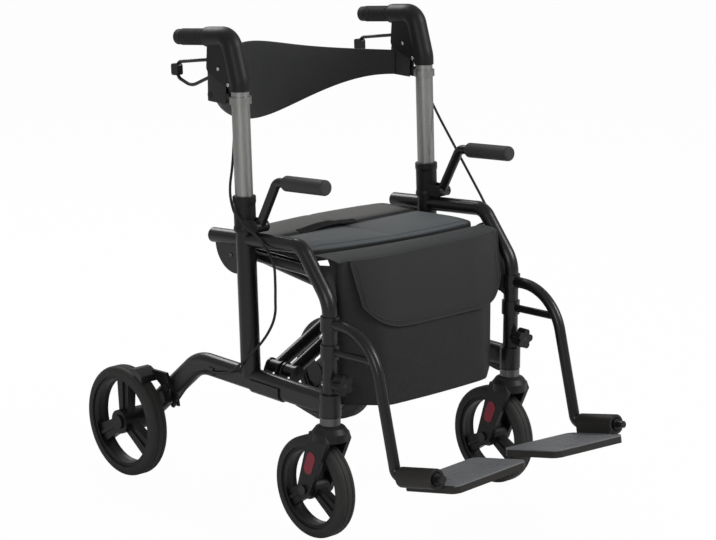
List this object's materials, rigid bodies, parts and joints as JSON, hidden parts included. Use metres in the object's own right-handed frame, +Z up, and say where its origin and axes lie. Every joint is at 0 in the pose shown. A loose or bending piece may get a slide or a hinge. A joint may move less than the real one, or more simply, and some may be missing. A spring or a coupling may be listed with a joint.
{
  "type": "rollator transport chair",
  "caption": "Folding rollator that doubles as a transport chair: padded seat, back strap, armrests, footrests, under-seat bag and spoked wheels.",
  "frame": {"origin": "on the floor, under the middle of the chair's outline", "axes": "+Z up, the chair faces -Y, +X towards the passenger's left"},
  "size_m": [0.553, 0.9025, 0.8432],
  "materials": {
    "frame_black": "satin black powder coat",
    "handle_silver": "satin anodised",
    "plastic_black": "fine-grained moulded plastic",
    "plastic_grey": "fine-grained moulded plastic",
    "rubber_black": "matte",
    "tyre_black": "matte",
    "steel": "zinc plated",
    "inlay_red": "satin",
    "seat_fabric": "coated woven cloth",
    "bag_fabric": "woven cloth"
  },
  "bodies": {
    "frame_right": {"front_leg_r": "frame_black", "handle_post_r": "frame_black", "post_collar_r": "plastic_black", "lower_rail_r": "frame_black", "rear_axle_r": "plastic_black", "caster_housing_r": "steel", "brake_cable_r": "rubber_black", "bag": "bag_fabric"},
    "brace_b": {"cross_brace_b": "frame_black", "brace_pin": "steel", "seat_panel_l": "seat_fabric"},
    "brace_a": {"cross_brace_a": "frame_black", "seat_panel_r": "seat_fabric"},
    "frame_left": {"front_leg_l": "frame_black", "handle_post_l": "frame_black", "post_collar_l": "plastic_black", "lower_rail_l": "frame_black", "rear_axle_l": "plastic_black", "caster_housing_l": "steel", "brake_cable_l": "rubber_black"},
    "handle_right": {"handle_tube_r": "handle_silver", "handle_housing_r": "plastic_black", "handle_grip_r": "rubber_black", "backrest_bracket_r": "frame_black", "backrest": "bag_fabric"},
    "lever_right": {"brake_lever_r": "frame_black"},
    "brake_right": {"brake_arm_r": "plastic_black"},
    "rear_wheel_right": {"rear_rim_r": "plastic_black", "rear_tyre_r": "tyre_black"},
    "caster_right": {"caster_fork_r": "plastic_black", "fork_inlay_r": "inlay_red", "front_axle_r": "steel"},
    "front_wheel_right": {"front_rim_r": "plastic_black", "front_tyre_r": "tyre_black"},
    "armrest_right": {"arm_tube_r": "frame_black", "arm_pad_r": "rubber_black"},
    "hanger_right": {"footrest_hanger_r": "frame_black"},
    "hinge_bush_right": {"hinge_bush_r": "plastic_black"},
    "footplate_right": {"footplate_r": "plastic_grey"},
    "knob_right": {"lock_knob_r": "plastic_black"},
    "handle_left": {"handle_tube_l": "handle_silver", "handle_housing_l": "plastic_black", "handle_grip_l": "rubber_black", "backrest_bracket_l": "frame_black"},
    "lever_left": {"brake_lever_l": "frame_black"},
    "brake_left": {"brake_arm_l": "plastic_black"},
    "rear_wheel_left": {"rear_rim_l": "plastic_black", "rear_tyre_l": "tyre_black"},
    "caster_left": {"caster_fork_l": "plastic_black", "fork_inlay_l": "inlay_red", "front_axle_l": "steel"},
    "front_wheel_left": {"front_rim_l": "plastic_black", "front_tyre_l": "tyre_black"},
    "armrest_left": {"arm_tube_l": "frame_black", "arm_pad_l": "rubber_black"},
    "hanger_left": {"footrest_hanger_l": "frame_black"},
    "hinge_bush_left": {"hinge_bush_l": "plastic_black"},
    "footplate_left": {"footplate_l": "plastic_grey"},
    "knob_left": {"lock_knob_l": "plastic_black"},
    "flap": {"bag_flap": "bag_fabric"}
  },
  "joints": [
    {"name": "fold", "type": "hinge", "parent": "frame_right", "child": "brace_b", "pos_m": [-0.18, -0.00768, 0.262], "axis": [0, -1, 0], "range_deg": [0, 42.4], "deforming": ["seat_panel_r", "seat_panel_l", "bag", "bag_flap", "backrest"]},
    {"name": "brace_cross", "type": "hinge", "parent": "brace_b", "child": "brace_a", "pos_m": [0, -0.00768, 0.356], "axis": [0, -1, 0], "range_deg": [-85, 0]},
    {"name": "frame_close", "type": "hinge", "parent": "brace_a", "child": "frame_left", "pos_m": [0.18, -0.00768, 0.262], "axis": [0, -1, 0], "range_deg": [0, 42.5]},
    {"name": "handle_height_right", "type": "slide", "parent": "frame_right", "child": "handle_right", "axis": [0, 0.0419, 0.9991], "range_m": [-0.04, 0.1], "deforming": ["brake_cable_r"]},
    {"name": "brake_lever_right", "type": "hinge", "parent": "handle_right", "child": "lever_right", "pos_m": [-0.213, 0.12667, 0.77293], "axis": [1, 0, 0], "range_deg": [0, 13], "stiffness_Nm_per_rad": 0.8},
    {"name": "brake_arm_right", "type": "hinge", "parent": "frame_right", "child": "brake_right", "pos_m": [-0.213, 0.25782, 0.1787], "axis": [-1, 0, 0], "range_deg": [0, 3]},
    {"name": "rear_wheel_right", "type": "hinge", "parent": "frame_right", "child": "rear_wheel_right", "pos_m": [-0.253, 0.34982, 0.1015], "axis": [1, 0, 0], "continuous": true},
    {"name": "caster_swivel_right", "type": "hinge", "parent": "frame_right", "child": "caster_right", "pos_m": [-0.213, -0.16318, 0.177], "axis": [0, 0, 1], "continuous": true},
    {"name": "front_wheel_right", "type": "hinge", "parent": "caster_right", "child": "front_wheel_right", "pos_m": [-0.213, -0.12518, 0.0885], "axis": [1, 0, 0], "continuous": true},
    {"name": "armrest_right", "type": "hinge", "parent": "frame_right", "child": "armrest_right", "pos_m": [-0.213, 0.01459, 0.514], "axis": [-1, 0, 0], "range_deg": [0, 36]},
    {"name": "footrest_swing_right", "type": "hinge", "parent": "frame_right", "child": "hanger_right", "pos_m": [-0.213, -0.16318, 0.355], "axis": [0, 0, -1], "range_deg": [0, 90]},
    {"name": "footplate_tuck_right", "type": "hinge", "parent": "hanger_right", "child": "hinge_bush_right", "pos_m": [-0.213, -0.32442, 0.156], "axis": [0, -0.9781, 0.2079], "range_deg": [0, 88]},
    {"name": "footplate_flip_right", "type": "hinge", "parent": "hinge_bush_right", "child": "footplate_right", "pos_m": [-0.213, -0.32442, 0.156], "axis": [0, -0.9781, 0.2079], "range_deg": [0, 88]},
    {"name": "lock_knob_right", "type": "hinge", "parent": "frame_right", "child": "knob_right", "pos_m": [-0.213, -0.16318, 0.281], "axis": [0, -1, 0], "continuous": true},
    {"name": "handle_height_left", "type": "slide", "parent": "frame_left", "child": "handle_left", "axis": [0, 0.0419, 0.9991], "range_m": [-0.04, 0.1], "deforming": ["brake_cable_l"]},
    {"name": "brake_lever_left", "type": "hinge", "parent": "handle_left", "child": "lever_left", "pos_m": [0.213, 0.12667, 0.77293], "axis": [1, 0, 0], "range_deg": [0, 13], "stiffness_Nm_per_rad": 0.8},
    {"name": "brake_arm_left", "type": "hinge", "parent": "frame_left", "child": "brake_left", "pos_m": [0.213, 0.25782, 0.1787], "axis": [-1, 0, 0], "range_deg": [0, 3]},
    {"name": "rear_wheel_left", "type": "hinge", "parent": "frame_left", "child": "rear_wheel_left", "pos_m": [0.253, 0.34982, 0.1015], "axis": [1, 0, 0], "continuous": true},
    {"name": "caster_swivel_left", "type": "hinge", "parent": "frame_left", "child": "caster_left", "pos_m": [0.213, -0.16318, 0.177], "axis": [0, 0, 1], "continuous": true},
    {"name": "front_wheel_left", "type": "hinge", "parent": "caster_left", "child": "front_wheel_left", "pos_m": [0.213, -0.12518, 0.0885], "axis": [1, 0, 0], "continuous": true},
    {"name": "armrest_left", "type": "hinge", "parent": "frame_left", "child": "armrest_left", "pos_m": [0.213, 0.01459, 0.514], "axis": [-1, 0, 0], "range_deg": [0, 36]},
    {"name": "footrest_swing_left", "type": "hinge", "parent": "frame_left", "child": "hanger_left", "pos_m": [0.213, -0.16318, 0.355], "axis": [0, 0, 1], "range_deg": [0, 90]},
    {"name": "footplate_tuck_left", "type": "hinge", "parent": "hanger_left", "child": "hinge_bush_left", "pos_m": [0.213, -0.32442, 0.156], "axis": [0, 0.9781, -0.2079], "range_deg": [0, 88]},
    {"name": "footplate_flip_left", "type": "hinge", "parent": "hinge_bush_left", "child": "footplate_left", "pos_m": [0.213, -0.32442, 0.156], "axis": [0, 0.9781, -0.2079], "range_deg": [0, 88]},
    {"name": "lock_knob_left", "type": "hinge", "parent": "frame_left", "child": "knob_left", "pos_m": [0.213, -0.16318, 0.281], "axis": [0, -1, 0], "continuous": true},
    {"name": "bag_flap", "type": "hinge", "parent": "frame_right", "child": "flap", "pos_m": [0, -0.16518, 0.4773], "axis": [-1, 0, 0], "range_deg": [0, 100]}
  ],
  "couplings": [
    {"joint": "brace_cross", "follows": "fold", "ratio": -2},
    {"joint": "frame_close", "follows": "fold", "ratio": 1},
    {"joint": "brake_arm_right", "follows": "brake_lever_right", "ratio": 0.23077},
    {"joint": "footplate_tuck_right", "follows": "fold", "ratio": 2.07},
    {"joint": "brake_arm_left", "follows": "brake_lever_left", "ratio": 0.23077},
    {"joint": "footplate_tuck_left", "follows": "fold", "ratio": 2.07},
    {"joint": "handle_height_left", "follows": "handle_height_right", "ratio": 1}
  ]
}
